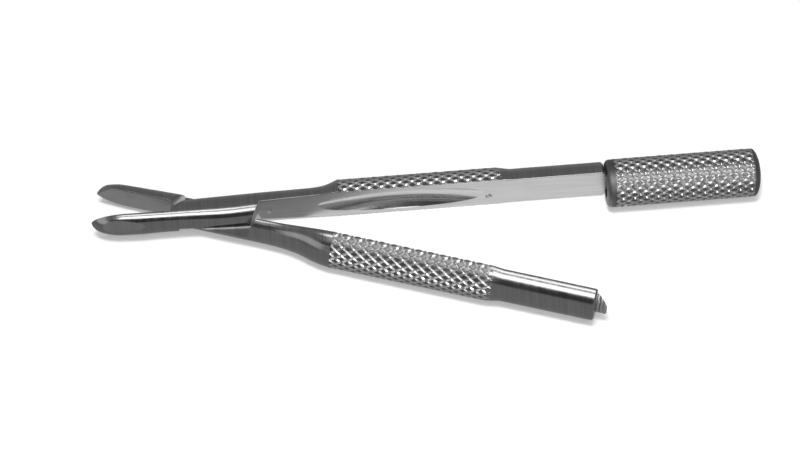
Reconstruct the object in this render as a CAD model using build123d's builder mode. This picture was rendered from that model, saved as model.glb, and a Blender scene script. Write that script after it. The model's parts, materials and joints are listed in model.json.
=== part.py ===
"""Slim extraction forceps: two half-round steel arms crossing in a half-lap joint, with
diamond-gripped handles and a sprung lock sleeve that holds the handles shut.

The sizes below describe the closed bar. It lies along X with the pivot pin standing along Z
through the origin, the jaws towards -X and the lock sleeve at the +X end. The far arm stays
on that line, the near arm is swung open about the pin, and the whole is set down on Z = 0.
"""
import os
from math import cos, radians, sin, tan

from build123d import *

# Arms as stored
opening = 18.4            # angle between the two arms
flat_gap = 0.1            # between the arms' inner flats when closed
lap_gap = 0.06            # between the two halves of the lap joint

# Jaws and shaft: oval sections, taller than wide
jaw_reach = 22.9          # pivot to jaw tip
nose_length = 7.0         # rounded nose of each jaw
nose_height = 7.1
nose_width = 5.45
jaw_end = -3.0            # where the jaws' quicker taper ends
jaw_end_width = 6.6
shaft_end = 24.3          # where the shaft starts to swell into the grip
shaft_height = 9.2
shaft_width = 7.3
jaw_flat_distance = 2.6   # bar axis to the flat ground on a jaw's outside, at the nose's end
jaw_flat_facing = 27.0    # the flat looks outwards and up by this angle
jaw_flat_taper = 5.0      # and comes nearer to the axis towards the tip
tip_rise = 0.6            # the tip lies this far above the bar's axis
tip_bevel = 45.0          # bevel under the tip
neck_middle = 26.4
neck_height = 9.9
neck_width = 8.2

# Grip and tail: round sections
grip_start = 28.4
grip_end = 61.0
grip_diameter = 10.4      # over the crests of the diamond pattern
grip_run_out = 3.0        # cone from the grip down to the tail
tail_diameter = 9.2
tail_end = 83.4
tail_chamfer = 0.35

# Half-lap joint
lap_front = 6.2           # pivot to the lap's front end
lap_back = 11.9           # pivot to the lap's back end, at the middle of the bar
lap_back_slant = 29.0     # the back end is cut oblique by this angle
lap_corner_start = 0.8    # distance from the middle where the front corner is cut off
lap_corner_slant = 54.0
shoulder_gap = 0.2        # lap end to the shoulder it faces
shoulder_corner_start = 1.0   # distance from the middle where the jaw's shoulder slants
shoulder_corner_slant = 40.0
pin_diameter = 2.5
pin_clearance = 0.03      # radial running clearance in the near arm
rivet_angle = 25.0        # flare of the riveted pin ends
rivet_height = 1.2        # height of the flared end, below the bar's top
fixed_clearance = 0.005   # radial, where a pin stays in its hole

# Scoop milled in each handle's inner flat
scoop_centre = 41.3
scoop_length = 34.6
scoop_width = 7.3
scoop_depth = 2.2

# Guide pins in the near handle and their seats in the far handle
guide_pin_diameter = 1.2
guide_pin_stand = 0.75    # stands this far across the middle plane
guide_pin_hold = 1.8      # length held in the near arm
guide_seat_diameter = 1.6
guide_seat_depth = 1.1
front_guide_place = (13.8, -0.6)
rear_guide_place = (59.5, -1.5)

# Near handle: its tail is relieved, and ends in a short bevelled half stud
relief_start = 45.0
relief_depth = 0.9
stud_diameter = 5.6
near_stud_length = 2.4
stud_bevel = 42.0         # angle of the bevel to the bar
stud_bevel_start = 0.3    # length left at the flat

# Far handle: half stud, then the stem that carries the lock sleeve
far_stud_length = 2.9
stem_diameter = 3.0
stem_length = 21.5

# Lock sleeve
sleeve_front_gap = 0.4    # tail end to sleeve front, at rest
sleeve_diameter = 10.1    # over the crests of the diamond pattern
mouth_round = 0.95
mouth_clearance = 0.15    # radial, around the half studs
web_gap = 0.1             # far stud end to the sleeve's inner web
web_thickness = 2.0
stem_clearance = 0.05     # radial, between stem and web
chamber_diameter = 7.4
plug_dome_height = 1.7
plug_shank_length = 3.0
plug_gap = 1.7            # stem screw to plug, at rest
plug_shrink = 0.1         # dome is this much smaller than the sleeve, on diameter

# Spring and the rings that hold it
washer_thickness = 0.45
washer_diameter = 6.8
washer_clearance = 0.08   # radial, around the stem
ring_gap = 0.04           # face to face, along the bar
spring_wire = 0.4
spring_mean_diameter = 5.0
spring_turns = 8
seat_thickness = 0.8
seat_diameter = 6.6
screw_diameter = 1.6
screw_length = 5.0
screw_hole_extra = 1.0    # hole left below the screw's tip
screw_head_diameter = 4.6
screw_head_height = 1.8
screw_slot_width = 0.6
screw_slot_depth = 0.7

# Worked out from the sizes above
grip_r = grip_diameter / 2
tail_r = tail_diameter / 2
stud_r = stud_diameter / 2
stem_r = stem_diameter / 2
half_gap = flat_gap / 2
reach = jaw_reach + tail_end   # longer and wider than anything that is cut
half_lap = lap_gap / 2
nose_end = nose_length - jaw_reach
shaft_taper = (shaft_height - nose_height) / (shaft_end - nose_end)
jaw_end_height = nose_height + shaft_taper * (jaw_end - nose_end)
bar_top_at_pivot = (nose_height - shaft_taper * nose_end) / 2
stem_start = tail_end + far_stud_length
stem_end = stem_start + stem_length
sleeve_start = tail_end + sleeve_front_gap
sleeve_end = stem_end + screw_head_height + plug_gap + plug_shank_length
web_start = stem_start + web_gap
web_end = web_start + web_thickness
washer_start = web_end + ring_gap
washer_end = washer_start + washer_thickness
seat_end = stem_end
seat_start = seat_end - seat_thickness


def ring(x_from, x_to, outer_r, inner_r=0.0, mode=Mode.ADD):
    """A plain ring or disc on the bar's axis, between two places along it."""
    with BuildSketch(Plane.YZ.offset(x_from), mode=Mode.PRIVATE) as section:
        Circle(outer_r)
        if inner_r > 0:
            Circle(inner_r, mode=Mode.SUBTRACT)
    extrude(section.sketch, amount=x_to - x_from, mode=mode)


def inner_hole(place, radius, y_from, y_to, mode=Mode.SUBTRACT):
    """A round pin or hole standing across the bar, at a place (x, z) on the inner flats."""
    with BuildSketch(Plane.XZ.offset(-y_from), mode=Mode.PRIVATE) as section:
        with Locations(place):
            Circle(radius)
    extrude(section.sketch, amount=y_from - y_to, mode=mode)


# ---------------------------------------------------------------- bar blank
# The closed bar before it is cut into two arms: rounded nose, oval shaft that grows towards
# the grip, neck, round grip and slimmer round tail.
with BuildPart() as bar_blank:
    with BuildSketch(Plane.XZ) as nose_outline:
        with BuildLine():
            nose = EllipticalCenterArc(
                (nose_end, 0), nose_length, nose_height / 2, 90, arc_size=90
            )
            Polyline(nose @ 0, (nose_end, 0), nose @ 1)
        make_face()
    revolve(axis=Axis.X)
    scale(by=(1, nose_width / nose_height, 1))

    with BuildSketch(Plane.YZ.offset(nose_end)):
        Ellipse(nose_width / 2, nose_height / 2)
    with BuildSketch(Plane.YZ.offset(jaw_end)):
        Ellipse(jaw_end_width / 2, jaw_end_height / 2)
    with BuildSketch(Plane.YZ.offset(shaft_end)):
        Ellipse(shaft_width / 2, shaft_height / 2)
    loft(ruled=True)

    with BuildSketch(Plane.YZ.offset(shaft_end)):
        Ellipse(shaft_width / 2, shaft_height / 2)
    with BuildSketch(Plane.YZ.offset(neck_middle)):
        Ellipse(neck_width / 2, neck_height / 2)
    with BuildSketch(Plane.YZ.offset(grip_start)):
        Circle(grip_r)
    loft()

    with BuildSketch(Plane.XZ) as handle_outline:
        Polygon(
            (grip_start, 0),
            (grip_start, grip_r),
            (grip_end, grip_r),
            (grip_end + grip_run_out, tail_r),
            (tail_end - tail_chamfer, tail_r),
            (tail_end, tail_r - tail_chamfer),
            (tail_end, 0),
            align=None,
        )
    revolve(axis=Axis.X)

# ---------------------------------------------------------------- arm blank
# What both arms share: the near half of the jaw, the upper half of the lap across the full
# width, and the far half of the handle. The near arm is the same piece turned half a turn
# about the bar.
with BuildPart() as arm_blank:
    add(bar_blank.part)

    slant = tan(radians(lap_back_slant))
    corner = tan(radians(lap_corner_slant))
    shoulder_back = lap_back + shoulder_gap
    shoulder_front = -lap_front - shoulder_gap
    outer = tan(radians(shoulder_corner_slant)) * (grip_r - shoulder_corner_start)
    with BuildSketch(Plane.XY.offset(half_lap)) as upper_waste:
        Polygon(
            (-reach, -half_gap),
            (-lap_front, -half_gap),
            (-lap_front, lap_corner_start),
            (-lap_front + corner * (grip_r - lap_corner_start), grip_r),
            (-reach, grip_r),
            align=None,
        )
        Polygon(
            (lap_back, half_gap),
            (lap_back - slant * reach, -reach),
            (reach, -reach),
            (reach, half_gap),
            align=None,
        )
    extrude(amount=reach, mode=Mode.SUBTRACT)
    with BuildSketch(Plane.XY.offset(half_lap)) as lower_waste:
        Polygon(
            (-reach, -half_gap),
            (shoulder_front, -half_gap),
            (shoulder_front, -shoulder_corner_start),
            (shoulder_front + outer, -grip_r),
            (reach, -grip_r),
            (reach, half_gap),
            (shoulder_back, half_gap),
            (shoulder_back - slant * reach, reach),
            (-reach, reach),
            align=None,
        )
    extrude(amount=-reach, mode=Mode.SUBTRACT)

    # Outside, the jaw is ground flat and its tip is bevelled underneath.
    outwards = Vector(0, -cos(radians(jaw_flat_facing)), sin(radians(jaw_flat_facing)))
    outwards = outwards * cos(radians(jaw_flat_taper)) - Vector(sin(radians(jaw_flat_taper)), 0, 0)
    flat_place = Vector(nose_end, 0, 0) + outwards * jaw_flat_distance
    down_front = Vector(-sin(radians(tip_bevel)), 0, -cos(radians(tip_bevel)))
    for place, facing in ((flat_place, outwards), ((-jaw_reach, 0, tip_rise), down_front)):
        with BuildSketch(Plane(origin=place, z_dir=facing)):
            Rectangle(reach, reach)
        extrude(amount=reach, mode=Mode.SUBTRACT)

    # The scoop is what a large wheel with a round edge leaves in the flat.
    wheel_r = ((scoop_length / 2) ** 2 + scoop_depth**2) / (2 * scoop_depth)
    edge_r = ((scoop_width / 2) ** 2 + scoop_depth**2) / (2 * scoop_depth)
    with Locations((scoop_centre, half_gap + scoop_depth - wheel_r, 0)):
        Torus(wheel_r - edge_r, edge_r, mode=Mode.SUBTRACT)

# ---------------------------------------------------------------- pivot pin
# Plain rivet with flared ends, ground flush with the bar. It is fast in the far arm and
# turns in the near arm.
def rivet(clearance, mode=Mode.ADD):
    """The pin's outline, enlarged by a clearance and longer than the bar is high."""
    radius = pin_diameter / 2 + clearance
    past_bar = 2 * rivet_height
    wide = radius + past_bar * tan(radians(rivet_angle))
    flare_start = bar_top_at_pivot - rivet_height
    flare_end = flare_start + past_bar
    with BuildSketch(Plane.XZ, mode=Mode.PRIVATE) as half_section:
        Polygon(
            (0, -flare_end),
            (wide, -flare_end),
            (radius, -flare_start),
            (radius, flare_start),
            (wide, flare_end),
            (0, flare_end),
            align=None,
        )
    revolve(half_section.sketch, axis=Axis.Z, mode=mode)


with BuildPart() as pivot_pin:
    rivet(0)
    add(bar_blank.part, mode=Mode.INTERSECT)

# ---------------------------------------------------------------- far arm
# Near jaw, upper half of the lap, far handle, half stud and stem.
with BuildPart() as far_arm:
    add(arm_blank.part)
    rivet(fixed_clearance, mode=Mode.SUBTRACT)
    for place in (front_guide_place, rear_guide_place):
        inner_hole(place, guide_seat_diameter / 2, -half_gap, half_gap + guide_seat_depth)
    ring(tail_end, stem_start, stud_r)
    with BuildSketch(Plane.XY) as stud_waste:
        Polygon(
            (tail_end, half_gap),
            (stem_start, half_gap),
            (stem_start, -tail_r),
            (tail_end, -tail_r),
            align=None,
        )
    extrude(amount=tail_r, both=True, mode=Mode.SUBTRACT)
    ring(stem_start, stem_end, stem_r)
    ring(
        stem_end - screw_length - screw_hole_extra,
        stem_end,
        screw_diameter / 2 + fixed_clearance,
        mode=Mode.SUBTRACT,
    )

# ---------------------------------------------------------------- near arm
# Far jaw, lower half of the lap, near handle and its bevelled half stud.
near_stud_end = tail_end + near_stud_length
with BuildPart() as near_arm:
    add(arm_blank.part, rotation=(180, 0, 0))
    rivet(pin_clearance, mode=Mode.SUBTRACT)
    ring(tail_end, near_stud_end, stud_r)
    bevel_rise = (near_stud_length - stud_bevel_start) * tan(radians(stud_bevel))
    relief_y = -half_gap - relief_depth
    with BuildSketch(Plane.XY) as tail_waste:
        Polygon(
            (relief_start, -half_gap),
            (tail_end, relief_y),
            (tail_end + stud_bevel_start, relief_y),
            (near_stud_end, relief_y - bevel_rise),
            (near_stud_end, tail_r),
            (relief_start, tail_r),
            align=None,
        )
    extrude(amount=tail_r, both=True, mode=Mode.SUBTRACT)
    for place in (front_guide_place, rear_guide_place):
        inner_hole(
            place, guide_pin_diameter / 2 + fixed_clearance, half_gap, -half_gap - guide_pin_hold
        )

# ---------------------------------------------------------------- guide pins
# Short dowels held in the near handle. They enter the far handle's seats as it closes.
with BuildPart() as front_guide_pin:
    inner_hole(
        front_guide_place,
        guide_pin_diameter / 2,
        -half_gap - guide_pin_hold,
        guide_pin_stand,
        mode=Mode.ADD,
    )
    chamfer(front_guide_pin.faces().sort_by(Axis.Y)[-1].edges(), guide_pin_diameter / 8)

with BuildPart() as rear_guide_pin:
    inner_hole(
        rear_guide_place,
        guide_pin_diameter / 2,
        -half_gap - guide_pin_hold,
        guide_pin_stand,
        mode=Mode.ADD,
    )
    chamfer(rear_guide_pin.faces().sort_by(Axis.Y)[-1].edges(), guide_pin_diameter / 8)

# ---------------------------------------------------------------- lock sleeve
# Knurled tube with a rounded mouth. The mouth closes over both half studs, and the inner
# web slides on the stem.
with BuildPart() as lock_sleeve:
    ring(sleeve_start, sleeve_end, sleeve_diameter / 2)
    fillet(lock_sleeve.faces().sort_by(Axis.X)[0].edges(), mouth_round)
    ring(sleeve_start, web_start, stud_r + mouth_clearance, mode=Mode.SUBTRACT)
    ring(web_start, web_end, stem_r + stem_clearance, mode=Mode.SUBTRACT)
    ring(web_end, sleeve_end, chamber_diameter / 2, mode=Mode.SUBTRACT)

# ---------------------------------------------------------------- end plug
# Smooth domed button pressed into the sleeve's open end.
dome_r = (sleeve_diameter - plug_shrink) / 2
with BuildPart() as end_plug:
    with BuildSketch(Plane.XY) as plug_outline:
        with BuildLine():
            dome = EllipticalCenterArc(
                (sleeve_end, 0), plug_dome_height, dome_r, 0, arc_size=90
            )
            shank_r = chamber_diameter / 2 - fixed_clearance
            Polyline(
                dome @ 1,
                (sleeve_end, shank_r),
                (sleeve_end - plug_shank_length, shank_r),
                (sleeve_end - plug_shank_length, 0),
                dome @ 0,
            )
        make_face()
    revolve(axis=Axis.X)

# ---------------------------------------------------------------- spring and its rings
# The thrust washer rides behind the sleeve's web, so the sleeve can turn on the spring. The
# spring pushes against the seat ring, which the stem screw holds. Its wire is drawn with
# eight flat sides, which keeps the coil light.
with BuildPart() as thrust_washer:
    ring(washer_start, washer_end, washer_diameter / 2, stem_r + washer_clearance)

with BuildPart() as spring_seat:
    ring(seat_start, seat_end, seat_diameter / 2, stem_r + fixed_clearance)

with BuildPart() as lock_spring:
    coil_start = washer_end + ring_gap + spring_wire / 2
    coil_end = seat_start - ring_gap - spring_wire / 2
    coil_r = spring_mean_diameter / 2
    with BuildLine() as coil_path:
        Helix(
            (coil_end - coil_start) / spring_turns,
            coil_end - coil_start,
            coil_r,
            center=(coil_start, 0, 0),
            direction=(1, 0, 0),
        )
    with BuildSketch(Plane(coil_path.line @ 0, z_dir=coil_path.line % 0)) as wire_section:
        RegularPolygon(spring_wire / 2, 8)
    sweep()

with BuildPart() as stem_screw:
    ring(stem_end - screw_length, stem_end, screw_diameter / 2)
    ring(stem_end, stem_end + screw_head_height, screw_head_diameter / 2)
    with BuildSketch(Plane.YZ.offset(stem_end + screw_head_height)) as slot:
        Rectangle(screw_head_diameter, screw_slot_width)
    extrude(amount=-screw_slot_depth, mode=Mode.SUBTRACT)

# ---------------------------------------------------------------- set down and written
# The near arm and its pins swing open, then everything is centred over the origin and
# stands on Z = 0.
pieces = {
    "far_arm": far_arm,
    "near_arm": near_arm,
    "pivot_pin": pivot_pin,
    "front_guide_pin": front_guide_pin,
    "rear_guide_pin": rear_guide_pin,
    "lock_sleeve": lock_sleeve,
    "end_plug": end_plug,
    "thrust_washer": thrust_washer,
    "lock_spring": lock_spring,
    "spring_seat": spring_seat,
    "stem_screw": stem_screw,
}
for swung in (near_arm, front_guide_pin, rear_guide_pin):
    swung.part = swung.part.rotate(Axis.Z, -opening)
box = Compound([piece.part for piece in pieces.values()]).bounding_box()
set_down = Location((-box.center().X, -box.center().Y, -box.min.Z))

os.makedirs("parts", exist_ok=True)
for label, piece in pieces.items():
    piece.part = piece.part.moved(set_down)
    piece.part.label = label
    export_step(piece.part, f"parts/{label}.step")
print("pivot axis at", set_down.position)
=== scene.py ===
"""The looks of a slim extraction forceps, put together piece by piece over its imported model."""
import json
from math import acos, ceil, cos, pi, radians, sin, sqrt, tan

import bmesh
import bpy
from mathutils import Matrix, Vector


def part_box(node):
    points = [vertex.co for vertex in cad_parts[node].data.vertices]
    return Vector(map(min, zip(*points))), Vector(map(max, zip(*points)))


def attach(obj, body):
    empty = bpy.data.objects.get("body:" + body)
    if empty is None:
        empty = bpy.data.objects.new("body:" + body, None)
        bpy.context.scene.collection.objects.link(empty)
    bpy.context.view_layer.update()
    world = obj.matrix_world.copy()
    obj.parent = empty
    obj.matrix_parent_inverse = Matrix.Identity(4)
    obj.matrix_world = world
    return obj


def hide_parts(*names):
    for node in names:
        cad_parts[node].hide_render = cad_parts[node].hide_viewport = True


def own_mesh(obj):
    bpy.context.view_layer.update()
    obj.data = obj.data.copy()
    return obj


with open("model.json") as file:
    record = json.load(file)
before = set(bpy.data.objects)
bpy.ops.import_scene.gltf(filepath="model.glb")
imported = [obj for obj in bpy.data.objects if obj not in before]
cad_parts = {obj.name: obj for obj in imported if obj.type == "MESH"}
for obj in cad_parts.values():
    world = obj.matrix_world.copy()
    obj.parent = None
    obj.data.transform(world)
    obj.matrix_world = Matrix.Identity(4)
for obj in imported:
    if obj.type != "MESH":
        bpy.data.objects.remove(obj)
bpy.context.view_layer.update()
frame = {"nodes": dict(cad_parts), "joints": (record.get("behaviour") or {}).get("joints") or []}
joints = {joint["name"]: joint for joint in frame["joints"]}

# ---------------------------------------------------------------- the bar
# Both arms are halves of one bar of stainless instrument steel, turned and polished round
# its axis: blunt nose, oval shaft that grows towards the handle, short neck, grip and tail.
# The grip is knurled before the bar is parted, so each arm keeps half of the diamonds.
mm = 0.001
pivot = Vector(joints["arm_pivot"]["pos_m"])
opening = radians(joints["arm_pivot"]["range_deg"][1])

jaw_tip = -22.9 * mm
nose_length = 7.0 * mm
grip_start = 28.4 * mm
grip_radius = 5.2 * mm
grip_end = 61.0 * mm
run_out_end = 64.0 * mm
tail_radius = 4.6 * mm
tail_end = 83.4 * mm
tail_chamfer = 0.35 * mm
run_out_slope = (grip_radius - tail_radius) / (run_out_end - grip_end)
groove_depth = 0.28 * mm
parting_gap = 0.05 * mm
edge_round = 0.16 * mm
lap_front = 6.2 * mm
lap_back = 11.9 * mm


def face_outwards(mesh, merge_distance=0.0):
    """Turns the mesh's normals outwards, after joining points that coincide."""
    shell = bmesh.new()
    shell.from_mesh(mesh)
    if merge_distance:
        bmesh.ops.remove_doubles(shell, verts=shell.verts, dist=merge_distance)
    bmesh.ops.recalc_face_normals(shell, faces=shell.faces)
    shell.to_mesh(mesh)
    shell.free()


def new_object(name, vertices, faces, material=None):
    """An object with that mesh, its normals outwards."""
    mesh = bpy.data.meshes.new(name)
    mesh.from_pydata(vertices, [], faces)
    if material:
        mesh.materials.append(material)
    face_outwards(mesh, merge_distance=0.0005 * mm)
    piece = bpy.data.objects.new(name, mesh)
    bpy.context.scene.collection.objects.link(piece)
    return piece


def applied(piece):
    """Turns the piece's modifiers into its mesh."""
    bpy.context.view_layer.update()
    finished = bpy.data.meshes.new_from_object(
        piece.evaluated_get(bpy.context.evaluated_depsgraph_get())
    )
    piece.modifiers.clear()
    piece.data = finished


def combine(piece, other, operation):
    """Cuts the piece with the other one, joins the two or keeps what they share."""
    change = piece.modifiers.new("combine", "BOOLEAN")
    change.operation = operation
    change.solver = "EXACT"
    change.material_mode = "TRANSFER"
    change.object = other
    applied(piece)
    bpy.data.objects.remove(other)
    return piece


def shade(piece):
    """Smooth faces, with crisp edges at every sharp turn and round every ground face."""
    crease = radians(28.0)
    piece.data.polygons.foreach_set("use_smooth", [True] * len(piece.data.polygons))
    piece.data.set_sharp_from_angle(angle=crease)
    edges = bmesh.new()
    edges.from_mesh(piece.data)
    for edge in edges.edges:
        if len({face.material_index for face in edge.link_faces}) > 1:
            edge.smooth = False
    edges.to_mesh(piece.data)
    edges.free()


def circle(radius, count):
    """Points round a circle."""
    turns = [2 * pi * side / count for side in range(count)]
    return [(radius * cos(turn), radius * sin(turn)) for turn in turns]


def bands(starts, count, closed=False):
    """Faces from each ring of points to the next. starts numbers each ring's first point."""
    nexts = starts[1:] + (starts[:1] if closed else [])
    return [
        (low + side, low + (side + 1) % count, high + (side + 1) % count, high + side)
        for low, high in zip(starts, nexts)
        for side in range(count)
    ]


def lathe(name, outline, material, sides=96):
    """A closed turned piece. The outline is a list of (place along the bar, radius)."""
    vertices = [(x, y, z) for x, radius in outline for y, z in circle(radius, sides)]
    starts = [ring * sides for ring in range(len(outline))]
    return new_object(name, vertices, bands(starts, sides, closed=True), material)


def prism(name, corners, low, high, material):
    """A closed block with that outline seen from above, between two heights."""
    count = len(corners)
    vertices = [(x, y, z) for z in (low, high) for x, y in corners]
    faces = [tuple(range(count)), tuple(range(count, 2 * count))] + bands([0, count], count)
    return new_object(name, vertices, faces, material)


def slab(name, place, facing, material):
    """A block that starts at that place and fills the side it faces."""
    half_side = 14 * mm
    thickness = 6 * mm
    along = facing.orthogonal().normalized() * half_side
    across = facing.cross(along)
    square = (-along - across, along - across, along + across, across - along)
    vertices = [place + corner + rise * facing for rise in (0, thickness) for corner in square]
    return new_object(name, vertices, [(0, 1, 2, 3), (4, 5, 6, 7)] + bands([0, 4], 4), material)


def quarter_oval(half_width, half_height, parted):
    """(y, z) from one side up to the parting, where its edge is rounded."""
    gap = min(parting_gap, 0.1 * half_width)
    rounding = min(edge_round, 0.3 * half_width)
    last = acos((gap + rounding) / half_width)
    oval_steps = 24
    edge_steps = 5
    sides = [half_width * cos(last * step / oval_steps) for step in range(oval_steps)]
    sides += [gap + rounding * (1 - sin(pi / 2 * step / edge_steps)) for step in range(edge_steps)]
    sides += [gap]
    quarter = []
    for y in sides:
        z = half_height * sqrt(max(0.0, 1 - (y / half_width) ** 2))
        inside = gap + rounding - y
        if parted and inside > 0:
            z -= rounding - sqrt(max(0.0, rounding**2 - inside**2))
        quarter.append((y, z))
    return quarter


def oval_ring(x, jaw_side, handle_side, half_height, parted):
    """One section of the bar. The arm's jaw and its handle lie on opposite sides."""
    half = quarter_oval(handle_side, half_height, parted)
    half += [(-y, z) for y, z in reversed(quarter_oval(jaw_side, half_height, parted))]
    whole = half + [(y, -z) for y, z in reversed(half[1:-1])]
    return [(x, y, z) for y, z in whole]


# Rows of place along the bar, half width on the jaw's and the handle's side, half height.
far_bar = [
    (-15.9, 2.8, 2.8, 3.3),
    (-12.4, 2.92, 3.0, 3.25),
    (-8.0, 2.85, 3.25, 3.1),
    (-3.0, 2.95, 3.5, 3.1),
    (5.0, 3.3, 3.72, 3.2),
    (10.0, 3.4, 3.75, 3.55),
    (14.0, 3.4, 3.72, 3.95),
    (17.0, 3.45, 3.68, 4.15),
    (21.0, 3.5, 3.66, 4.4),
    (24.3, 3.65, 3.75, 4.6),
    (26.4, 4.15, 4.2, 4.95),
    (28.4, 5.2, 5.2, 5.2),
]
near_bar = [
    (-15.9, 2.725, 2.725, 3.4),
    (-3.0, 3.3, 3.0, 3.5),
    (5.0, 3.3, 3.0, 3.65),
    (12.0, 3.35, 2.95, 3.85),
    (17.0, 3.4, 3.05, 4.05),
    (21.0, 3.6, 3.55, 4.5),
    (24.3, 4.5, 4.5, 4.9),
    (26.4, 4.95, 4.95, 5.1),
    (28.4, 5.2, 5.2, 5.2),
]


def between(rows, x):
    """The half widths and half height at a place, on smooth curves through the rows."""
    final = len(rows) - 1
    after = next(row for row in range(1, len(rows)) if x <= rows[row][0] or row == final)
    earlier, start, end, later = (
        rows[max(after - 2, 0)], rows[after - 1], rows[after], rows[min(after + 1, final)]
    )
    span = end[0] - start[0]
    part = (x - start[0]) / span
    values = []
    for item in (1, 2, 3):
        out = span * (end[item] - earlier[item]) / (end[0] - earlier[0])
        into = span * (later[item] - start[item]) / (later[0] - start[0])
        rise = end[item] - start[item]
        squared = 3 * rise - 2 * out - into
        cubed = out + into - 2 * rise
        values.append(start[item] + part * (out + part * (squared + part * cubed)))
    return values


def bar_stations(rows):
    """(place along the bar, half widths, half height, parted) from the nose to the tail."""
    nose_end = jaw_tip + nose_length
    nose_steps = 16
    shaft_steps = 40
    lap_step = 0.002 * mm
    stations = []
    for step in range(1, nose_steps + 1):
        turn = pi / 2 * step / nose_steps
        sizes = [size * mm * sin(turn) for size in rows[0][1:]]
        stations.append((nose_end - nose_length * cos(turn), *sizes))
    places = [-lap_front - lap_step, -lap_front, lap_back, lap_back + lap_step]
    for step in range(1, shaft_steps + 1):
        places.append(nose_end + (grip_start - nose_end) * step / shaft_steps)
    for x in sorted(places):
        stations.append((x, *[size * mm for size in between(rows, x / mm)]))
    under = grip_radius - groove_depth - 0.3 * mm
    under_end = grip_end + groove_depth / run_out_slope - 0.2 * mm
    for x, radius in (
        (grip_start + 0.04 * mm, under),
        (under_end, under),
        (under_end + 0.01 * mm, grip_radius - run_out_slope * (under_end - grip_end)),
        (run_out_end, tail_radius),
        (tail_end - tail_chamfer, tail_radius),
        (tail_end, tail_radius - tail_chamfer),
    ):
        stations.append((x, radius, radius, radius))
    return [(*station, not -lap_front <= station[0] <= lap_back) for station in stations]


def turned_bar(name, rows, material):
    """The bar without its diamonds, closed at both ends."""
    rings = [oval_ring(*station) for station in bar_stations(rows)]
    around = len(rings[0])
    vertices = [(jaw_tip, 0.0, 0.0)] + [point for ring in rings for point in ring]
    faces = [(0, 1 + side, 1 + (side + 1) % around) for side in range(around)]
    faces += bands([1 + ring * around for ring in range(len(rings))], around)
    faces.append(tuple(range(len(vertices) - around, len(vertices))))
    return new_object(name, vertices, faces, material)


def node(tree, kind, **settings):
    """A new node with its settings."""
    made = tree.nodes.new(kind)
    for name, value in settings.items():
        setattr(made, name, value)
    return made


diamond_crown = 0.06 * mm
land_share = 0.6
steps_per_diamond = 4


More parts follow.
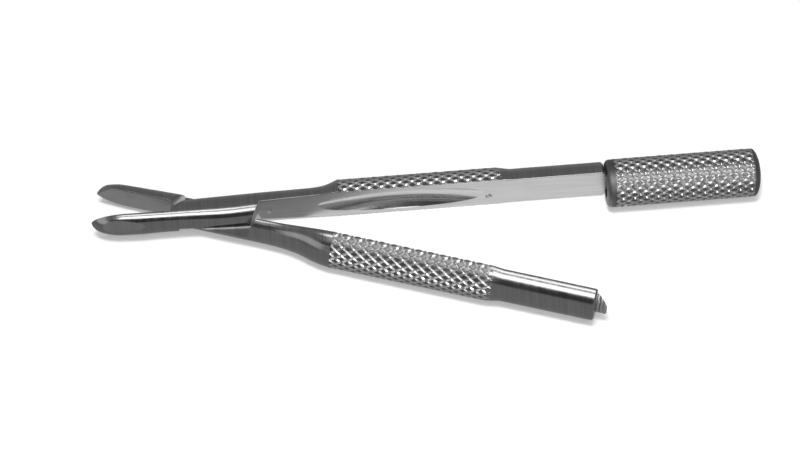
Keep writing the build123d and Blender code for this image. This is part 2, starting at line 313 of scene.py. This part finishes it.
def diamond_tree():
    """Geometry Nodes for a knurled rod: two crossing sets of grooves leave rows of diamonds."""
    tree = bpy.data.node_groups.new("diamond_rod", "GeometryNodeTree")
    face = tree.interface
    face.new_socket("Geometry", in_out="OUTPUT", socket_type="NodeSocketGeometry")
    face.new_socket("Geometry", in_out="INPUT", socket_type="NodeSocketGeometry")
    for title in ("Start", "Radius", "Groove Depth", "Crown", "Diamond Length", "Land"):
        face.new_socket(title, in_out="INPUT", socket_type="NodeSocketFloat")
    for title in ("Diamonds Around", "Diamonds Along", "Steps"):
        face.new_socket(title, in_out="INPUT", socket_type="NodeSocketInt")
    for title in ("Land Steel", "Flank Steel"):
        face.new_socket(title, in_out="INPUT", socket_type="NodeSocketMaterial")
    given = node(tree, "NodeGroupInput").outputs

    def link(value, socket):
        if isinstance(value, bpy.types.NodeSocket):
            tree.links.new(value, socket)
        else:
            socket.default_value = value

    def math(operation, first, second=0.0):
        made = node(tree, "ShaderNodeMath", operation=operation)
        link(first, made.inputs[0])
        link(second, made.inputs[1])
        return made.outputs[0]

    # A square grid in diamonds, turned by 45 degrees: rows run along one set of grooves.
    around = given["Diamonds Around"]
    along = given["Diamonds Along"]
    steps = given["Steps"]
    cells = math("ADD", around, along)
    count = math("ADD", math("MULTIPLY", cells, steps), 1.0)
    grid = node(tree, "GeometryNodeMeshGrid")
    link(cells, grid.inputs["Size X"])
    link(cells, grid.inputs["Size Y"])
    link(count, grid.inputs["Vertices X"])
    link(count, grid.inputs["Vertices Y"])
    place = node(tree, "GeometryNodeInputPosition")
    split = node(tree, "ShaderNodeSeparateXYZ")
    link(place.outputs[0], split.inputs[0])
    half = math("MULTIPLY", cells, 0.5)
    one_way = math("ADD", split.outputs["X"], half)
    other_way = math("SUBTRACT", math("ADD", split.outputs["Y"], half), along)
    turned = math("ADD", one_way, other_way)
    shifted = math("SUBTRACT", one_way, other_way)
    last = math("MULTIPLY", along, 2.0)

    # Only the faces that wrap once round the rod are kept.
    slack = 0.001
    whole_turn = math("MULTIPLY", around, 2.0)
    outside = math("LESS_THAN", turned, 0.0)
    for test in (
        math("GREATER_THAN", turned, whole_turn),
        math("LESS_THAN", shifted, -slack),
        math("GREATER_THAN", shifted, math("ADD", last, slack)),
    ):
        outside = math("MAXIMUM", outside, test)
    trim = node(tree, "GeometryNodeDeleteGeometry", domain="FACE")
    link(grid.outputs["Mesh"], trim.inputs["Geometry"])
    link(outside, trim.inputs["Selection"])

    # Each cell's edge points move to the rim of its land. The ends close.
    margin = math("DIVIDE", 0.5, steps)
    inner = math("MULTIPLY", math("GREATER_THAN", shifted, margin),
                 math("LESS_THAN", shifted, math("SUBTRACT", last, margin)))
    widening = math("SUBTRACT", math("MULTIPLY", given["Land"], 0.5), 0.25)

    def widened(value):
        swing = math("SINE", math("MULTIPLY", value, 2 * pi))
        return math("SUBTRACT", value, math("MULTIPLY", widening, swing))

    one_way = widened(one_way)
    other_way = widened(other_way)
    turned = math("ADD", one_way, other_way)
    shifted = math("SUBTRACT", one_way, other_way)

    # Steep flanks rise from the grooves to the land, which is crowned in its middle.
    def from_middle(value):
        return math("ABSOLUTE", math("SUBTRACT", math("FRACT", value), 0.5))

    outwards = math("MULTIPLY", math("MAXIMUM", from_middle(one_way), from_middle(other_way)), 2.0)
    on_land = math("MINIMUM", math("DIVIDE", outwards, given["Land"]), 1.0)
    on_flank = math("MAXIMUM", math("SUBTRACT", outwards, given["Land"]), 0.0)
    on_flank = math("DIVIDE", on_flank, math("SUBTRACT", 1.0, given["Land"]))
    sunk = math("ADD", math("MULTIPLY", on_land, given["Crown"]),
                math("MULTIPLY", on_flank, given["Groove Depth"]))
    radius = math("MULTIPLY", math("SUBTRACT", given["Radius"], sunk), inner)
    kept = math("MINIMUM", math("MAXIMUM", shifted, 0.0), last)
    angle = math("DIVIDE", math("MULTIPLY", turned, pi), around)
    point = node(tree, "ShaderNodeCombineXYZ")
    length = math("MULTIPLY", math("MULTIPLY", kept, 0.5), given["Diamond Length"])
    link(math("ADD", given["Start"], length), point.inputs["X"])
    link(math("MULTIPLY", radius, math("COSINE", angle)), point.inputs["Y"])
    link(math("MULTIPLY", radius, math("SINE", angle)), point.inputs["Z"])

    # The flat sheet wraps round the rod, and its two edges join.
    store = node(tree, "GeometryNodeStoreNamedAttribute", data_type="FLOAT", domain="POINT")
    link(trim.outputs[0], store.inputs["Geometry"])
    link("flank", store.inputs["Name"])
    link(on_flank, store.inputs["Value"])
    wrap = node(tree, "GeometryNodeSetPosition")
    link(store.outputs[0], wrap.inputs["Geometry"])
    link(point.outputs[0], wrap.inputs["Position"])
    close = node(tree, "GeometryNodeMergeByDistance")
    link(wrap.outputs[0], close.inputs["Geometry"])
    link(0.001 * mm, close.inputs["Distance"])
    real = node(tree, "GeometryNodeRealizeInstances")
    link(close.outputs[0], real.inputs["Geometry"])

    # Lands and flanks have their own steel. The flanks are painted far lighter than the lands: a
    # painted glint along every groove.
    flank_start = 0.1
    paint_lands = node(tree, "GeometryNodeSetMaterial")
    link(real.outputs[0], paint_lands.inputs["Geometry"])
    link(given["Land Steel"], paint_lands.inputs["Material"])
    stored = node(tree, "GeometryNodeInputNamedAttribute", data_type="FLOAT")
    link("flank", stored.inputs["Name"])
    paint_flanks = node(tree, "GeometryNodeSetMaterial")
    link(paint_lands.outputs[0], paint_flanks.inputs["Geometry"])
    is_flank = math("GREATER_THAN", stored.outputs[0], flank_start)
    link(is_flank, paint_flanks.inputs["Selection"])
    link(given["Flank Steel"], paint_flanks.inputs["Material"])
    out = node(tree, "NodeGroupOutput")
    link(paint_flanks.outputs[0], out.inputs["Geometry"])
    return tree


diamonds = diamond_tree()


def knurled_rod(name, start, end, radius, around, diamond_length, land, flank):
    """A knurled rod that reaches at least from start to end along the bar."""
    rod = new_object(name, [(0, 0, 0)], [])
    nodes = rod.modifiers.new("diamonds", "NODES")
    nodes.node_group = diamonds
    values = {
        "Start": start - diamond_length,
        "Radius": radius,
        "Groove Depth": groove_depth - diamond_crown,
        "Crown": diamond_crown,
        "Diamond Length": diamond_length,
        "Land": land_share,
        "Diamonds Around": around,
        "Diamonds Along": ceil((end - start) / diamond_length) + 2,
        "Steps": steps_per_diamond,
        "Land Steel": land,
        "Flank Steel": flank,
    }
    for socket in diamonds.interface.items_tree:
        if socket.in_out == "INPUT" and socket.name in values:
            nodes[socket.identifier] = values[socket.name]
    applied(rod)
    face_outwards(rod.data)
    return rod


def grain_group():
    """Machining marks: fine lines across the first direction, and slow smudges over them."""
    tree = bpy.data.node_groups.new("machining_marks", "ShaderNodeTree")
    face = tree.interface
    face.new_socket("Vector", in_out="INPUT", socket_type="NodeSocketVector")
    face.new_socket("Color", in_out="INPUT", socket_type="NodeSocketColor")
    face.new_socket("Color", in_out="OUTPUT", socket_type="NodeSocketColor")
    face.new_socket("Roughness", in_out="OUTPUT", socket_type="NodeSocketFloat")
    face.new_socket("Height", in_out="OUTPUT", socket_type="NodeSocketFloat")
    given = node(tree, "NodeGroupInput")
    out = node(tree, "NodeGroupOutput")
    lines = node(tree, "ShaderNodeTexNoise", noise_dimensions="3D")
    lines.inputs["Scale"].default_value = 1.0
    lines.inputs["Detail"].default_value = 4.0
    lines.inputs["Roughness"].default_value = 0.6
    smudges = node(tree, "ShaderNodeTexNoise", noise_dimensions="3D")
    smudges.inputs["Scale"].default_value = 160.0
    smudges.inputs["Detail"].default_value = 3.0
    coordinate = node(tree, "ShaderNodeTexCoord")
    both = node(tree, "ShaderNodeMath", operation="ADD")
    tone = node(tree, "ShaderNodeMapRange")
    tone.inputs["From Min"].default_value = 0.3
    tone.inputs["From Max"].default_value = 0.7
    tone.inputs["To Min"].default_value = 0.9
    tone.inputs["To Max"].default_value = 1.1
    rough = node(tree, "ShaderNodeMapRange")
    rough.inputs["From Min"].default_value = 0.6
    rough.inputs["From Max"].default_value = 1.4
    tint = node(tree, "ShaderNodeHueSaturation")
    link = tree.links.new
    link(given.outputs["Vector"], lines.inputs["Vector"])
    link(coordinate.outputs["Object"], smudges.inputs["Vector"])
    link(smudges.outputs[0], both.inputs[0])
    link(lines.outputs[0], both.inputs[1])
    link(lines.outputs[0], tone.inputs["Value"])
    link(tone.outputs[0], tint.inputs["Value"])
    link(given.outputs["Color"], tint.inputs["Color"])
    link(both.outputs[0], rough.inputs["Value"])
    link(tint.outputs[0], out.inputs["Color"])
    link(rough.outputs[0], out.inputs["Roughness"])
    link(lines.outputs[0], out.inputs["Height"])
    return tree


machining_marks = grain_group()


def steel(name, color, roughness, line_scale, bump):
    """Bare steel. line_scale is how fine the marks are along, across and up the bar.

    bump is the height of the marks in mm.
    """
    material = bpy.data.materials.new(name)
    material.use_nodes = True
    tree = material.node_tree
    shader = tree.nodes["Principled BSDF"]
    shader.inputs["Metallic"].default_value = 1.0
    coordinate = node(tree, "ShaderNodeTexCoord")
    place = node(tree, "ShaderNodeMapping", vector_type="TEXTURE")
    place.inputs["Scale"].default_value = [1 / scale for scale in line_scale]
    marks = node(tree, "ShaderNodeGroup", node_tree=machining_marks)
    marks.inputs["Color"].default_value = (*color, 1)
    spread = node(tree, "ShaderNodeMapRange")
    spread.inputs["To Min"].default_value = roughness[0]
    spread.inputs["To Max"].default_value = roughness[1]
    relief = node(tree, "ShaderNodeBump")
    relief.inputs["Strength"].default_value = 1.0
    relief.inputs["Distance"].default_value = bump * mm
    link = tree.links.new
    link(coordinate.outputs["Object"], place.inputs["Vector"])
    link(place.outputs[0], marks.inputs["Vector"])
    link(marks.outputs["Color"], shader.inputs["Base Color"])
    link(marks.outputs["Roughness"], spread.inputs["Value"])
    link(spread.outputs[0], shader.inputs["Roughness"])
    link(marks.outputs["Height"], relief.inputs["Height"])
    link(relief.outputs[0], shader.inputs["Normal"])
    return material


around_bar = (1800, 60, 60)
along_bar = (90, 1500, 1500)
across_flat = (1100, 50, 50)
pressed = (700, 700, 700)
drawn = (900, 900, 900)
polished = steel("polished_steel", (0.36, 0.36, 0.365), (0.12, 0.26), around_bar, bump=0.004)
# The knurl's lands and flanks are one steel; the flanks' much lighter colour is a painted glint.
knurled = steel("knurled_steel", (0.22, 0.22, 0.225), (0.26, 0.42), pressed, bump=0.01)
glint_flank_steel = steel("knurl_flank_painted_glint", (0.74, 0.74, 0.74), (0.2, 0.34), pressed, bump=0.01)
ground = steel("ground_steel", (0.6, 0.6, 0.605), (0.28, 0.45), along_bar, bump=0.004)
scooped = steel("scooped_steel", (0.6, 0.6, 0.605), (0.12, 0.24), along_bar, bump=0.003)
# The seats' steel is painted almost white: painted light that lifts the shade inside the small
# drilled holes.
seat_steel_painted_light = steel("seat_steel_painted_light", (0.9, 0.9, 0.9), (0.6, 0.7), drawn, bump=0.003)
jaw_flat = steel("jaw_flat_steel", (0.45, 0.45, 0.455), (0.3, 0.45), across_flat, bump=0.004)

grip_diamonds_around = 19
grip_diamond_length = 2.55 * mm


def blank_bar(name, rows, outside):
    """The turned bar with its knurled grip, ready to be parted."""
    bar = turned_bar(name, rows, outside)
    inset = 0.02 * mm
    groove_end = grip_end + groove_depth / run_out_slope
    rod = knurled_rod(
        "grip_diamonds", grip_start, groove_end, grip_radius,
        grip_diamonds_around, grip_diamond_length, knurled, glint_flank_steel,
    )
    clear = grip_radius + 0.5 * mm
    envelope = [
        (grip_start + inset, 0.0),
        (grip_start + inset, clear),
        (grip_end - (clear - grip_radius) / run_out_slope, clear),
        (groove_end, grip_radius - groove_depth - inset),
        (groove_end, 0.0),
    ]
    combine(rod, lathe("grip_envelope", envelope, outside), "INTERSECT")
    return combine(bar, rod, "UNION")


# The scoop in each handle's flat is what a large grinding wheel with a round edge leaves.
scoop_centre = 41.3 * mm
scoop_half_length = 17.3 * mm
scoop_half_width = 3.65 * mm
scoop_depth = 2.2 * mm


def scoop_wheel(material):
    """The stretch of the wheel's rim that meets the flat."""
    wheel = (scoop_half_length**2 + scoop_depth**2) / (2 * scoop_depth)
    rim = (scoop_half_width**2 + scoop_depth**2) / (2 * scoop_depth)
    centre = Vector((scoop_centre, parting_gap + scoop_depth - wheel, 0))
    reach = 1.3 * scoop_half_length / wheel
    steps = 60
    count = 48
    vertices = []
    for step in range(steps + 1):
        swing = reach * (2 * step / steps - 1)
        for out, up in circle(rim, count):
            radius = wheel - rim + out
            vertices.append(centre + Vector((radius * sin(swing), radius * cos(swing), up)))
    starts = [count * step for step in range(steps + 1)]
    faces = bands(starts, count)
    faces += [tuple(range(start, start + count)) for start in (starts[0], starts[-1])]
    return new_object("scoop", vertices, faces, material)


def drill(place, depth, radius, material):
    """A pointed drill standing across the bar at a place (x, z) on the flat."""
    x, z = place
    count = 32
    entry = -1 * mm
    bottom = parting_gap + depth
    point_height = 0.6 * radius
    ring = circle(radius, count)
    vertices = [(x + a, y, z + b) for y in (entry, bottom) for a, b in ring]
    vertices.append((x, bottom + point_height, z))
    faces = [tuple(range(count))] + bands([0, count], count)
    faces += [(count + i, count + (i + 1) % count, 2 * count) for i in range(count)]
    return new_object("drill", vertices, faces, material)


# The cuts that part the bar and halve the lap, and those that shape the jaw's outside.
lap_back_slant = tan(radians(29.0))
lap_gap = 0.03 * mm
shoulder_gap = 0.2 * mm
lap_corner_start = 0.8 * mm
lap_corner_slant = tan(radians(54.0))
shoulder_corner_start = 1.0 * mm
shoulder_slant = tan(radians(40.0))
jaw_flat_distance = 2.6 * mm
jaw_flat_facing = radians(27.0)
jaw_flat_taper = radians(5.0)
tip_rise = 0.6 * mm


def arm_half(name, rows, outside, inside):
    """A jaw, half of the lap and the handle across from it, cut from the bar and scooped."""
    arm = blank_bar(name, rows, outside)

    # The cutters end this far along the bar, up and to the side: well past it.
    far = 200 * mm
    top = 8.0 * mm
    wide = 8.0 * mm
    shoulder_back = lap_back + shoulder_gap
    shoulder_front = -lap_front - shoulder_gap
    corner_end = -lap_front + lap_corner_slant * (wide - lap_corner_start)
    above = [
        (-far, -parting_gap), (-lap_front, -parting_gap), (-lap_front, lap_corner_start),
        (corner_end, wide), (-far, wide),
    ]
    behind = [
        (lap_back, parting_gap), (lap_back - lap_back_slant * wide, -wide),
        (far, -wide), (far, parting_gap),
    ]
    shoulder_side = shoulder_front + shoulder_slant * (wide - shoulder_corner_start)
    below = [
        (-far, -parting_gap), (shoulder_front, -parting_gap),
        (shoulder_front, -shoulder_corner_start), (shoulder_side, -wide),
        (far, -wide), (far, parting_gap), (shoulder_back, parting_gap),
        (shoulder_back - lap_back_slant * wide, wide), (-far, wide),
    ]
    combine(arm, prism("cutter", above, -lap_gap, top, inside), "DIFFERENCE")
    combine(arm, prism("cutter", behind, -lap_gap, top, inside), "DIFFERENCE")
    combine(arm, prism("cutter", below, -top, lap_gap, inside), "DIFFERENCE")

    # The jaw's outside has one long flat and a bevel at the tip.
    tilt = cos(jaw_flat_taper)
    outwards = Vector(
        (-sin(jaw_flat_taper), -cos(jaw_flat_facing) * tilt, sin(jaw_flat_facing) * tilt)
    )
    flat_place = Vector((jaw_tip + nose_length, 0, 0)) + jaw_flat_distance * outwards
    combine(arm, slab("cutter", flat_place, outwards, jaw_flat), "DIFFERENCE")
    tip_place = Vector((jaw_tip, 0, tip_rise))
    down_front = Vector((-1, 0, -1)).normalized()
    combine(arm, slab("cutter", tip_place, down_front, outside), "DIFFERENCE")
    combine(arm, scoop_wheel(scooped), "DIFFERENCE")

    # The lap's face takes the darker steel of the outside in place of the lighter ground steel of
    # the cuts: painted shade on the lap where it shows between the arms.
    lap_face = list(arm.data.materials).index(outside)
    for face in arm.data.polygons:
        if abs(face.normal.z) > 0.99 and abs(face.center.z) < 2 * lap_gap:
            face.material_index = lap_face
    return arm


# ---------------------------------------------------------------- far arm
# Near jaw, upper lap half, far handle. Two small round seats in its flat take the near arm's
# guide pins, and its tail carries a half stud and the stem that the lock sleeve slides on.
seat_radius = 0.8 * mm
seat_depth = 1.1 * mm
seat_places = ((13.8 * mm, -0.6 * mm), (59.5 * mm, -1.5 * mm))
stud_radius = 2.8 * mm
stem_radius = 1.5 * mm
stem_start = 86.3 * mm
stem_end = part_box("spring_seat")[1].x - pivot.x
stud_sunk = 1 * mm
past_stem = 4 * mm

far_arm = arm_half("far_arm_steel", far_bar, polished, ground)
for seat_place in seat_places:
    combine(far_arm, drill(seat_place, seat_depth, seat_radius, seat_steel_painted_light), "DIFFERENCE")
stem_outline = [
    (tail_end - stud_sunk, 0.0),
    (tail_end - stud_sunk, stud_radius),
    (stem_start, stud_radius),
    (stem_start, stem_radius),
    (stem_end, stem_radius),
    (stem_end, 0.0),
]
stem = lathe("stem", stem_outline, ground, sides=48)
stud_flat = [
    (tail_end - 2 * stud_sunk, parting_gap),
    (stem_start, parting_gap),
    (stem_start, -past_stem),
    (tail_end - 2 * stud_sunk, -past_stem),
]
combine(stem, prism("cutter", stud_flat, -past_stem, past_stem, ground), "DIFFERENCE")
combine(far_arm, stem, "UNION")
far_arm.data.transform(Matrix.Translation(pivot))
shade(far_arm)
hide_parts("far_arm")
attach(far_arm, "far_arm")

# ---------------------------------------------------------------- near arm
# The same half turned over: far jaw, lower lap half, near handle. Its tail is ground away a
# little on the inside, and ends in a short half stud with fine ridges and a bevelled end.
relief_start = 45.0 * mm
relief_depth = 0.15 * mm
near_stud_length = 2.4 * mm
ridge_pitch = 0.7 * mm
ridge_depth = 0.16 * mm
bevel_rise = 1.9 * mm
bevel_start = 0.3 * mm
past_tail = 6 * mm

near_arm = arm_half("near_arm_steel", near_bar, polished, ground)
near_arm.data.transform(Matrix.Rotation(pi, 4, "X"))
stud_outline = [
    (tail_end - stud_sunk, 0.0),
    (tail_end - stud_sunk, stud_radius),
    (tail_end, stud_radius),
]
for ridge in range(int(near_stud_length / ridge_pitch)):
    start = tail_end + ridge * ridge_pitch
    stud_outline += [
        (start + 0.1 * ridge_pitch, stud_radius - ridge_depth),
        (start + 0.5 * ridge_pitch, stud_radius),
        (start + 0.7 * ridge_pitch, stud_radius),
    ]
stud_outline += [
    (tail_end + near_stud_length, stud_radius - ridge_depth),
    (tail_end + near_stud_length, 0.0),
]
near_stud = lathe("near_stud", stud_outline, ground, sides=64)
combine(near_arm, near_stud, "UNION")
relieved = -parting_gap - relief_depth
relief = [
    (relief_start, -parting_gap),
    (tail_end, relieved),
    (tail_end + bevel_start, relieved),
    (tail_end + near_stud_length, relieved - bevel_rise),
    (tail_end + 2 * near_stud_length, relieved - bevel_rise),
    (tail_end + 2 * near_stud_length, past_tail),
    (relief_start, past_tail),
]
combine(near_arm, prism("cutter", relief, -past_tail, past_tail, ground), "DIFFERENCE")
near_arm.data.transform(Matrix.Translation(pivot) @ Matrix.Rotation(-opening, 4, "Z"))
shade(near_arm)
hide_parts("near_arm")
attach(near_arm, "near_arm")

# ---------------------------------------------------------------- rivet
# A steel pin through both halves of the lap. Its ends are hammered over, then ground and
# polished flush with the arms, so that only a faint ring is left.
rivet_radius = 1.25 * mm
rivet_proud = 0.01 * mm
lap_half_height = 3.15 * mm
past_lap = 8 * mm

rivet = turned_bar("rivet", far_bar, polished)
rivet.data.transform(Matrix.Diagonal((1, 1, 1 + rivet_proud / lap_half_height, 1)))
rivet_ring = circle(rivet_radius, 48)
combine(rivet, prism("cutter", rivet_ring, -past_lap, past_lap, polished), "INTERSECT")
rivet.data.transform(Matrix.Translation(pivot))
shade(rivet)
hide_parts("pivot_pin")
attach(rivet, "far_arm")

# ---------------------------------------------------------------- lock sleeve
# A knurled tube with a plain rounded collar in front. It slides back on the stem against its
# spring, and a smooth domed plug is pressed into its open end.
sleeve_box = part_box("lock_sleeve")
sleeve_start = sleeve_box[0].x - pivot.x
sleeve_end = sleeve_box[1].x - pivot.x
sleeve_radius = 5.05 * mm
collar_radius = 4.95 * mm
collar_length = 1.8 * mm
collar_round = 0.95 * mm
mouth_radius = 2.95 * mm
web_start = 86.4 * mm
web_end = 88.4 * mm
web_radius = 1.55 * mm
chamber_radius = 3.7 * mm
sleeve_diamonds_around = 19
sleeve_diamond_length = 2.43 * mm

band_start = sleeve_start + collar_length
buried = sleeve_radius - groove_depth - 0.15 * mm
tube_outline = [(sleeve_start, mouth_radius)]
round_steps = 8
for step in range(round_steps, -1, -1):
    turn = pi / 2 * step / round_steps
    along = collar_round * (1 - sin(turn))
    down = collar_round * (1 - cos(turn))
    tube_outline.append((sleeve_start + along, collar_radius - down))
tube_outline += [
    (band_start, collar_radius),
    (band_start + 0.02 * mm, buried),
    (sleeve_end, buried),
    (sleeve_end, chamber_radius),
    (web_end, chamber_radius),
    (web_end, web_radius),
    (web_start, web_radius),
    (web_start, mouth_radius),
]
# The collar and the end plug are painted darker than the other steel: painted shade for the dark
# surroundings they mirror. Their rougher finish is their own.
painted_dark_steel = steel("collar_steel_painted_shade", (0.2, 0.2, 0.205), (0.42, 0.55), around_bar, bump=0.006)
lock_sleeve = lathe("lock_sleeve_steel", tube_outline, painted_dark_steel)
sleeve_rod = knurled_rod(
    "sleeve_diamonds", band_start, sleeve_end, sleeve_radius,
    sleeve_diamonds_around, sleeve_diamond_length, knurled, glint_flank_steel,
)
band_inside = chamber_radius + 0.3 * mm
band_outside = sleeve_radius + 1 * mm
band_outline = [
    (band_start, band_inside),
    (band_start, band_outside),
    (sleeve_end, band_outside),
    (sleeve_end, band_inside),
]
combine(sleeve_rod, lathe("cutter", band_outline, knurled), "INTERSECT")
combine(lock_sleeve, sleeve_rod, "UNION")
lock_sleeve.data.transform(Matrix.Translation(pivot))
shade(lock_sleeve)
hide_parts("lock_sleeve")
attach(lock_sleeve, "lock_sleeve")

# ---------------------------------------------------------------- small steel parts
# Ground guide pins, turned end plug, thrust washer, seat ring and screw, and the
# drawn spring wire: they keep their modelled shape and get their own finish.
pin_steel = steel("pin_steel", (0.38, 0.38, 0.385), (0.16, 0.3), around_bar, bump=0.004)
wire_steel = steel("spring_steel", (0.3, 0.3, 0.31), (0.2, 0.35), drawn, bump=0.004)
finishes = {
    "front_guide_pin": pin_steel,
    # The plug shares the collar's painted-dark steel.
    "rear_guide_pin": pin_steel,
    "end_plug": painted_dark_steel,
    "thrust_washer": pin_steel,
    "spring_seat": pin_steel,
    "stem_screw": pin_steel,
    "lock_spring": wire_steel,
}
for part, finish in finishes.items():
    frame["nodes"][part].data.materials.clear()
    frame["nodes"][part].data.materials.append(finish)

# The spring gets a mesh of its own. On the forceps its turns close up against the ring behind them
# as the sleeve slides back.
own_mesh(frame["nodes"]["lock_spring"])

# ---------------------------------------------------------------- table, lamps and camera
# The forceps lie on a white table under two long lamps, with a small lamp for the shadow and
# one on the right. Boards in front and on the left, and a card between the handles, give the
# polished steel something to mirror.
table_half = 1.5
table_corners = [
    (-table_half, -table_half, 0), (table_half, -table_half, 0),
    (table_half, table_half, 0), (-table_half, table_half, 0),
]
table_top = new_object("table_top", table_corners, [(0, 1, 2, 3)])


def glowing(name, mirrored, share=1.0):
    """A stage surface: one tone in reflections, and white in view.

    share is how much of that white glows; the rest takes soft shadows.
    """
    material = bpy.data.materials.new(name)
    material.use_nodes = True
    tree = material.node_tree
    tree.nodes.clear()
    link = tree.links.new
    path = node(tree, "ShaderNodeLightPath")
    level = node(tree, "ShaderNodeMapRange")
    level.inputs["To Min"].default_value = mirrored
    glow = node(tree, "ShaderNodeEmission")
    plain = node(tree, "ShaderNodeBsdfDiffuse")
    plain.inputs["Color"].default_value = (0.9, 0.9, 0.9, 1)
    part = node(tree, "ShaderNodeMath", operation="MULTIPLY_ADD")
    part.inputs[1].default_value = share
    mix = node(tree, "ShaderNodeMixShader")
    link(path.outputs["Is Camera Ray"], level.inputs["Value"])
    link(level.outputs[0], glow.inputs["Strength"])
    link(path.outputs["Is Camera Ray"], part.inputs[0])
    link(path.outputs["Is Glossy Ray"], part.inputs[2])
    link(part.outputs[0], mix.inputs[0])
    link(plain.outputs[0], mix.inputs[1])
    link(glow.outputs[0], mix.inputs[2])
    link(mix.outputs[0], node(tree, "ShaderNodeOutputMaterial").inputs["Surface"])
    return material


room_tone = 0.3
table_top.data.materials.append(glowing("white_table", room_tone, share=0.3))


def board(name, corners, tone):
    """A flat board that only the steel mirrors."""
    made = new_object(name, corners, [tuple(range(len(corners)))], glowing(name, tone))
    made.visible_camera = False
    made.visible_diffuse = False
    made.visible_shadow = False


board_half = 1.2
lamp_height = 0.7
front_lamp_end = 27.5
dark_board_end = 60.6


def long_board(name, low, high, tone):
    """A board across the front of the table, between two points (y, z)."""
    corners = [
        (-board_half, *low), (board_half, *low), (board_half, *high), (-board_half, *high)
    ]
    board(name, corners, tone)


def along_front(degrees_from_top):
    """(y, z) at the lamps' height, that far from straight above the bar, towards the front."""
    return (pivot.y - lamp_height * tan(radians(degrees_from_top)), pivot.z + lamp_height)


long_board("dark_board", along_front(front_lamp_end), along_front(dark_board_end), 0.05)
front_y = along_front(dark_board_end)[0]
long_board("grey_board", (front_y, 0.0), (front_y, lamp_height), room_tone)

# The card narrows to nothing near the lap, so its front edge follows the near arm's flat.
card_height = 0.1 * mm
card_start = pivot.x + 20 * mm
card_end = pivot.x + 85 * mm
card_back = pivot.y + 3 * mm
card_corners = [
    (card_start, pivot.y, card_height),
    (card_end, pivot.y - (card_end - card_start) * tan(opening), card_height),
    (card_end, card_back, card_height),
    (card_start, card_back, card_height),
]
board("white_card", card_corners, 0.9)

left_x = -0.45
left_front, left_back = -0.5, 0.3
left_low, left_high = 0.16, 0.52
left_corners = [
    (left_x, left_front, left_low), (left_x, left_back, left_low),
    (left_x, left_back, left_high), (left_x, left_front, left_high),
]
board("left_board", left_corners, 0.8)


def lamp(name, place, aim, size, strength, mirrored=True):
    """A soft rectangular lamp that faces a point. strength is its tone in a mirror."""
    light = bpy.data.lights.new(name, "AREA")
    light.shape = "RECTANGLE"
    light.size, light.size_y = size
    light.energy = strength * pi * light.size * light.size_y
    holder = bpy.data.objects.new(name, light)
    holder.location = place
    holder.rotation_euler = (Vector(aim) - Vector(place)).to_track_quat("-Z", "Y").to_euler()
    holder.visible_camera = False
    holder.visible_glossy = mirrored
    bpy.context.scene.collection.objects.link(holder)


strip_middle = 0.08
strip_length = 0.6
strip_strength = 3.5


def strip_lamp(name, from_top, to_top):
    """A long lamp flat over the bar, between two angles from straight above."""
    start_y, height = along_front(from_top)
    end_y = along_front(to_top)[0]
    y = (start_y + end_y) / 2
    size = (strip_length, abs(start_y - end_y))
    lamp(name, (strip_middle, y, height), (strip_middle, y, 0), size, strip_strength)


table_middle = (0, 0, 0)
strip_lamp("rear_strip", -8.0, 0.4)
strip_lamp("front_strip", 9.6, front_lamp_end)
lamp("key_lamp", (-0.05, -0.13, 0.9), table_middle, (0.2, 0.12), 85, mirrored=False)
lamp("right_lamp", (0.33, -0.72, 0.6), table_middle, (0.25, 0.45), 5.0)

# The room is white in view, grey in the steel, and gives the table little light.
room_light = 0.1
world = bpy.data.worlds.new("room")
bpy.context.scene.world = world
world.use_nodes = True
room = world.node_tree
room.nodes.clear()
room_path = node(room, "ShaderNodeLightPath")
room_level = node(room, "ShaderNodeMapRange")
room_level.inputs["To Min"].default_value = room_tone
room_shade = node(room, "ShaderNodeMath", operation="MULTIPLY_ADD")
room_shade.inputs[1].default_value = room_light - room_tone
room_glow = node(room, "ShaderNodeBackground")
link = room.links.new
link(room_path.outputs["Is Camera Ray"], room_level.inputs["Value"])
link(room_path.outputs["Is Diffuse Ray"], room_shade.inputs[0])
link(room_level.outputs[0], room_shade.inputs[2])
link(room_shade.outputs[0], room_glow.inputs["Strength"])
link(room_glow.outputs[0], node(room, "ShaderNodeOutputWorld").inputs["Surface"])

# The camera looks down steeply on the open forceps from the front.
azimuth = radians(-2.639)
elevation = radians(61.802)
roll = radians(-2.133)
distance = 0.57913
target = pivot + Vector((40.551, -6.278, 0)) * mm
back = Vector((sin(azimuth) * cos(elevation), -cos(azimuth) * cos(elevation), sin(elevation)))
right = (-back).cross(Vector((0, 0, 1))).normalized()
up = right.cross(-back)
level = Matrix((right, up, back)).transposed().to_4x4()
camera_data = bpy.data.cameras.new("camera")
camera_data.lens = 126.54
camera_data.clip_start = 0.01
camera = bpy.data.objects.new("camera", camera_data)
camera.matrix_world = (
    Matrix.Translation(target + back * distance) @ level @ Matrix.Rotation(roll, 4, "Z")
)
bpy.context.scene.collection.objects.link(camera)
bpy.context.scene.camera = camera
bpy.context.scene.view_settings.view_transform = "Standard"
